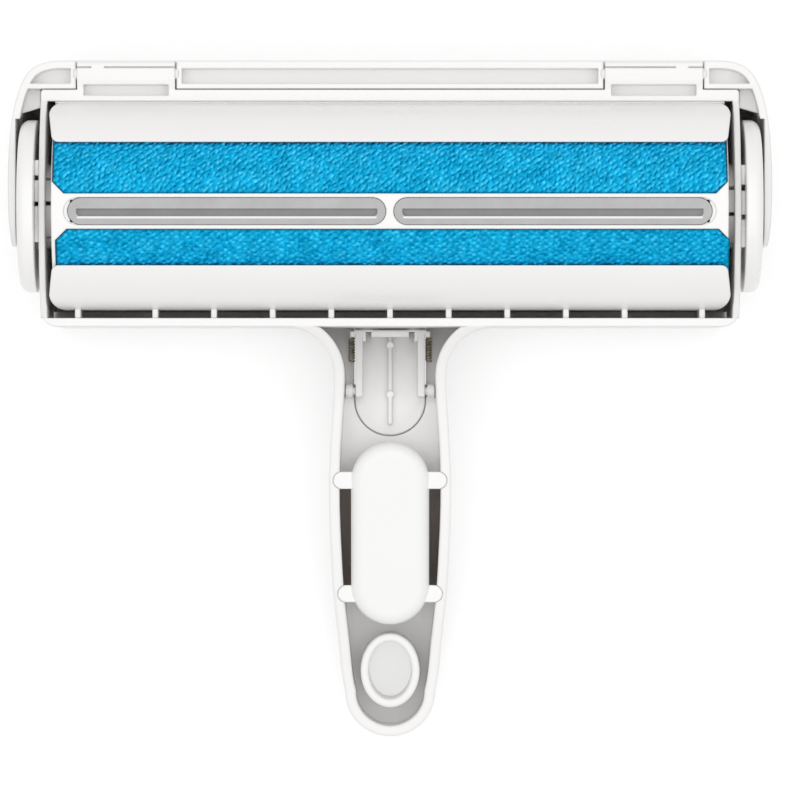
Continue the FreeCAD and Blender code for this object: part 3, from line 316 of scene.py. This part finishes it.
def fabric_strip(name, node, side, shift, pile, seed):
    """One strip on the drum, from the raised band out to under a guard; side is 1 towards the hinge."""
    arc_long = math.radians(STRIP_END - STRIP_START) * FABRIC_R
    nu = int(2 * STRIP_HALF / GRID_STEP)
    nv = int(arc_long / GRID_STEP)
    strip = start(name, bpy.ops.mesh.primitive_grid_add, x_subdivisions=nu, y_subdivisions=nv, size=2.0)
    mesh = strip.data
    top = len(mesh.vertices)
    place = np.empty(top * 3)
    mesh.vertices.foreach_get("co", place)
    place = place.reshape(-1, 3)
    run = place[:, 0] * side * STRIP_HALF
    across = (place[:, 1] + 1) / 2 * arc_long
    trim = np.clip(STRIP_CORNER - across, 0, None)
    ease = np.clip(1 - (STRIP_HALF - np.abs(run)) / CORNER_RUN, 0, 1) ** 2
    along = run - np.sign(run) * trim * ease
    to_end = STRIP_HALF - trim - np.abs(along)
    edge = np.minimum(np.minimum(across, arc_long - across), to_end)
    height, shade = tuft_field(along, across, pile, seed)
    roll = np.clip(1 - edge / EDGE_ROLL, 0, 1) ** 2
    height = height * (1 - 0.75 * roll)
    radius = FABRIC_R - PILE_FOOT + PILE_HIGH * height - EDGE_SINK * roll
    turn = side * (math.radians(STRIP_START) + across / FABRIC_R) - math.radians(REST_TURN)
    place = np.stack([along + shift, radius * np.sin(turn), AXIS_Z + radius * np.cos(turn)], -1)
    mesh.vertices.foreach_set("co", (place * MM).ravel())
    # Painted shade along the strip's edges: 1 at an edge, falling to 0 over its given width
    painted_edge_shade = np.clip(1 - edge / EDGE_SHADE_WIDTH, 0, 1)
    for label, values in (("height", height), ("tuft", shade), ("edge_shade_mask", painted_edge_shade)):
        mesh.attributes.new(label, "FLOAT", "POINT").data.foreach_set("value", values.astype(np.float32))

    bpy.ops.object.mode_set(mode="EDIT")
    bpy.ops.mesh.select_all(action="SELECT")
    bpy.ops.mesh.region_to_loop()
    bpy.ops.mesh.extrude_edges_move()
    bpy.ops.object.mode_set(mode="OBJECT")
    for vertex in mesh.vertices[top:]:
        spin = math.atan2(vertex.co.y, vertex.co.z - AXIS_Z * MM)
        vertex.co.y = POCKET_R * MM * math.sin(spin)
        vertex.co.z = (AXIS_Z + POCKET_R * math.cos(spin)) * MM
    mesh.polygons.foreach_set("use_smooth", [True] * len(mesh.polygons))
    mesh.update()
    mesh.materials.append(fabric)
    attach(strip, "drum")
    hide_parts(node)


fabric_strip("lint_fabric_front", "fabric_strip_front", 1, 0.0, FRONT_PILE, 11)
fabric_strip("lint_fabric_rear", "fabric_strip_rear", -1, REAR_SHIFT, REAR_PILE, 12)


# Groove of each grip strip: a bead along its hinge side, a sunk floor in a darker copy of the grey elastomer
# as painted shade, and a white bar that stands along its other side. Each gives its place across the band,
# half its width and its top radius.
STRIP_MID = 40.1125
GROOVE_HALF = 36.9
BEAD = (1.12, 0.46, 24.48)
GROOVE_FLOOR = (-0.30, 1.0, 23.72)
# White bar along each groove's side away from the hinge, giving the bright line there
RIB = (-1.52, 0.28, 24.50)
SOFT_EDGE = 0.12


def long_bar(name, middle, half_long, side, half_wide, low_r, high_r, material):
    """A bar with round ends along the drum's top, side millimetres from the band's middle line."""
    bar = start(name, bpy.ops.mesh.primitive_cube_add, size=2.0)
    mesh = bar.data
    for vertex in mesh.vertices:
        vertex.co = (vertex.co.x * half_long, vertex.co.y * half_wide, vertex.co.z)
    bpy.ops.object.mode_set(mode="EDIT")
    shape = bmesh.from_edit_mesh(mesh)
    for edge in shape.edges:
        edge.select_set(abs(edge.verts[0].co.z - edge.verts[1].co.z) > 1)
    bpy.ops.mesh.bevel(offset=0.96 * half_wide, segments=7, affect="EDGES", clamp_overlap=False)
    bpy.ops.mesh.select_all(action="DESELECT")
    for face in shape.faces:
        face.select_set(face.normal.z > 0.9)
    bpy.ops.mesh.bevel(offset=SOFT_EDGE, segments=2, affect="EDGES")
    bpy.ops.object.mode_set(mode="OBJECT")
    for vertex in mesh.vertices:
        radius = low_r + (vertex.co.z + 1) / 2 * (high_r - low_r)
        turn = (vertex.co.y + side) / FABRIC_R - math.radians(REST_TURN)
        vertex.co = ((vertex.co.x + middle) * MM, radius * math.sin(turn) * MM,
                     (AXIS_Z + radius * math.cos(turn)) * MM)
    mesh.materials.append(material)
    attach(bar, "drum")
    return bar


for way, label in ((-1, "left"), (1, "right")):
    for name, (side, half_wide, top_r), material, slot in (
            ("grip_bead_", BEAD, elastomer, "grey_elastomer"),
            ("grip_groove_", GROOVE_FLOOR, elastomer_painted_shade, "grey_elastomer"),
            ("groove_white_bar_", RIB, abs_smooth, "white_abs"),
    ):
        middle = way * STRIP_MID
        bar = long_bar(name + label, middle, GROOVE_HALF, side, half_wide, POCKET_R, top_r, material)


# Seat of the front guard: a thin white ledge in the wedge between the guard and the front wall
SEAT_HALF = 83.4
SEAT_Y = (25.42, 26.05)
SEAT_Z = (39.4, 41.1)


def guard_seat(name):
    """A long ledge with softened edges along the front wall's inner face."""
    seat = start(name, bpy.ops.mesh.primitive_cube_add, size=2.0)
    mesh = seat.data
    for vertex in mesh.vertices:
        vertex.co = (vertex.co.x * SEAT_HALF * MM,
                     (sum(SEAT_Y) + vertex.co.y * (SEAT_Y[1] - SEAT_Y[0])) / 2 * MM,
                     (sum(SEAT_Z) + vertex.co.z * (SEAT_Z[1] - SEAT_Z[0])) / 2 * MM)
    bpy.ops.object.mode_set(mode="EDIT")
    bpy.ops.mesh.select_all(action="SELECT")
    bpy.ops.mesh.bevel(offset=SOFT_EDGE * MM, segments=2, affect="EDGES")
    bpy.ops.object.mode_set(mode="OBJECT")
    mesh.materials.append(abs_body)
    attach(seat, "frame")


guard_seat("front_guard_seat")


# Shoulders of the collars, seen as pale blocks with two slits between each end cap and the side wall: for
# each side, the ends of its three blocks towards the hinge and towards the handle
SHOULDER_X = (86.92, 87.98)
SHOULDER_Z = (40.0, 50.3)
SHOULDER_EDGE = 0.15
SHOULDERS = {
    -1: ((11.0, 7.2), (6.0, 0.7), (-0.4, -9.3)),
    1: ((9.8, 4.9), (3.4, -2.5), (-3.7, -10.6)),
}


def collar_shoulder(name, way):
    """Three blocks in a row, in one mesh, with softened edges."""
    shoulder = start(name, bpy.ops.mesh.primitive_cube_add, size=1.0)
    bpy.ops.object.mode_set(mode="EDIT")
    bpy.ops.mesh.delete(type="VERT")
    for y1, y0 in SHOULDERS[way]:
        spans = (SHOULDER_X, (y0, y1), SHOULDER_Z)
        middle = [(low + high) / 2 * MM for low, high in spans]
        bpy.ops.mesh.primitive_cube_add(size=1.0, location=(way * middle[0], middle[1], middle[2]),
                                        scale=[(high - low) * MM for low, high in spans])
    bpy.ops.mesh.select_all(action="SELECT")
    bpy.ops.mesh.bevel(offset=SHOULDER_EDGE * MM, segments=2, affect="EDGES")
    bpy.ops.object.mode_set(mode="OBJECT")
    shoulder.data.materials.append(abs_smooth)
    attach(shoulder, "frame")


collar_shoulder("collar_shoulder_left", -1)
collar_shoulder("collar_shoulder_right", 1)


# Thin lip of the neck that closes the slit round the end of the release button
LIP_PATH_HALF = 8.95
LIP_HALF_WIDE = 0.15
LIP_ROUND_Y = -48.45
LIP_STRAIGHT = 4.0
LIP_T = 0.45
LIP_LIFT = 0.05

# The neck's back near the button, as a curve: where it starts, then its height, slope and bend from there on
BACK_START = -44.0
BACK_CURVE = (12.355, 0.35025, -0.01082)


def neck_back(y):
    """Height of the neck's back at a place along the handle, in millimetres."""
    run = BACK_START - y
    height, slope, bend = BACK_CURVE
    return height + slope * run + bend * run * run


def slit_lip(name):
    """A band along the U of the slit, bent to the curve of the neck's back."""
    lip = start(name, bpy.ops.mesh.primitive_grid_add, x_subdivisions=96, y_subdivisions=1, size=2.0)
    mesh = lip.data
    arc_long = math.pi * LIP_PATH_HALF
    for vertex in mesh.vertices:
        run = vertex.co.x * (arc_long / 2 + LIP_STRAIGHT)
        reach = LIP_PATH_HALF + vertex.co.y * LIP_HALF_WIDE
        past = abs(run) - arc_long / 2
        turn = min(abs(run), arc_long / 2) / LIP_PATH_HALF
        x = reach * math.copysign(math.sin(turn), run)
        y = LIP_ROUND_Y - reach * math.cos(turn) + max(past, 0)
        vertex.co = (x * MM, y * MM, (neck_back(y) + LIP_LIFT) * MM)
    solid = lip.modifiers.new("solid", "SOLIDIFY")
    solid.thickness = LIP_T * MM
    solid.offset = 1.0
    bpy.ops.object.modifier_apply(modifier="solid")
    mesh.materials.append(abs_body)
    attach(lip, "frame")


slit_lip("neck_slit_lip")


# Return springs of the release button, lying on the neck's floor beside its arms
SPRING_X = 9.75
SPRING_FRONT = (-32.7, 9.55)
SPRING_REAR = (-38.6, 12.98)
SPRING_R = 0.68
WIRE_R = 0.19
SPRING_TURNS = 8


def return_spring(name, x):
    """A coil of steel wire along a straight line from its front end to its rear end."""
    long = math.dist(SPRING_FRONT, SPRING_REAR)
    spring = start(name, bpy.ops.mesh.primitive_circle_add, vertices=8, radius=WIRE_R * MM)
    mesh = spring.data
    for vertex in mesh.vertices:
        vertex.co = (vertex.co.x + SPRING_R * MM, 0, vertex.co.y)
    coil = spring.modifiers.new("coil", "SCREW")
    coil.axis = "Z"
    coil.angle = math.tau
    coil.screw_offset = (long - 2 * WIRE_R) / SPRING_TURNS * MM
    coil.iterations = SPRING_TURNS
    coil.steps = 18
    coil.render_steps = 18
    coil.use_normal_calculate = True
    bpy.ops.object.modifier_apply(modifier="coil")
    bpy.ops.object.mode_set(mode="EDIT")
    bpy.ops.mesh.select_all(action="SELECT")
    bpy.ops.mesh.fill_holes(sides=8)
    bpy.ops.mesh.normals_make_consistent(inside=False)
    bpy.ops.object.mode_set(mode="OBJECT")
    tip = math.atan2(SPRING_REAR[1] - SPRING_FRONT[1], SPRING_FRONT[0] - SPRING_REAR[0])
    for vertex in mesh.vertices:
        run, up = vertex.co.z + WIRE_R * MM, vertex.co.y
        vertex.co = (x * MM + vertex.co.x,
                     SPRING_FRONT[0] * MM - run * math.cos(tip) + up * math.sin(tip),
                     SPRING_FRONT[1] * MM + run * math.sin(tip) + up * math.cos(tip))
    mesh.polygons.foreach_set("use_smooth", [True] * len(mesh.polygons))
    mesh.materials.append(spring_wire)
    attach(spring, "frame")


return_spring("return_spring_left", -SPRING_X)
return_spring("return_spring_right", SPRING_X)


# Floor, light and camera. A strength of 1 seen directly is white.
FLOOR_GLOW = 0.45
SKY = 0.60


def seen_directly(tree):
    """1 for rays from the camera or by way of a gloss or a clear material, 0 for light that only lights."""
    path = add(tree, "LightPath")
    either = add(tree, "Math", [(0, path.outputs["Is Camera Ray"]), (1, path.outputs["Is Glossy Ray"])],
                 operation="MAXIMUM")
    return add(tree, "Math", [(0, either.outputs["Value"]), (1, path.outputs["Is Transmission Ray"])],
               operation="MAXIMUM").outputs["Value"]


floor = start("floor", bpy.ops.mesh.primitive_plane_add, size=6.0, location=(0, 0, -0.0002))
floor_material, tree = new_material("floor_paint")
diffuse = add(tree, "BsdfDiffuse", Color=linear("#F2F2F2"))
pale = add(tree, "BsdfDiffuse", Color=linear("#D2D2D2"))
glow = add(tree, "Emission", Color=linear("#FFFFFF"), Strength=FLOOR_GLOW)
lift = add(tree, "AddShader", [(0, pale.outputs["BSDF"]), (1, glow.outputs["Emission"])])
mix = add(tree, "MixShader", [("Fac", seen_directly(tree)), (1, diffuse.outputs["BSDF"]),
                              (2, lift.outputs["Shader"])])
add(tree, "OutputMaterial", [("Surface", mix.outputs["Shader"])])
floor.data.materials.append(floor_material)

world = bpy.data.worlds.new("studio")
bpy.context.scene.world = world
world.use_nodes = True
tree = world.node_tree
tree.nodes.clear()
plain = add(tree, "Background", Color=linear("#FFFFFF"), Strength=SKY)
bright = add(tree, "Background", Color=linear("#FFFFFF"), Strength=1.0)
mix = add(tree, "MixShader", [("Fac", seen_directly(tree)), (1, plain.outputs["Background"]),
                              (2, bright.outputs["Background"])])
add(tree, "OutputWorld", [("Surface", mix.outputs["Shader"])])


def softbox(name, place, target, size, power):
    """A square soft lamp at a place, turned to a target, both in metres."""
    light = bpy.data.lights.new(name, "AREA")
    light.shape = "SQUARE"
    light.size = size
    light.energy = power
    lamp = bpy.data.objects.new(name, light)
    bpy.context.scene.collection.objects.link(lamp)
    lamp.location = place
    aim = [t - p for t, p in zip(target, place)]
    yaw = math.atan2(aim[0], -aim[1])
    pitch = math.atan2(math.hypot(aim[0], aim[1]), -aim[2])
    lamp.rotation_euler = (pitch, 0, yaw + math.pi)
    lamp.visible_camera = False


softbox("overhead_softbox", (0, -0.04, 1.6), (0, -0.04, 0.03), 2.4, 16.4)

camera = bpy.data.cameras.new("camera")
camera.sensor_width = 36.0
camera.lens = 261.0
camera.clip_start = 0.1
camera.clip_end = 20.0
viewer = bpy.data.objects.new("camera", camera)
bpy.context.scene.collection.objects.link(viewer)
viewer.location = (0.0025, -0.0484, 1.486)
bpy.context.scene.camera = viewer
bpy.context.scene.view_settings.view_transform = "Standard"
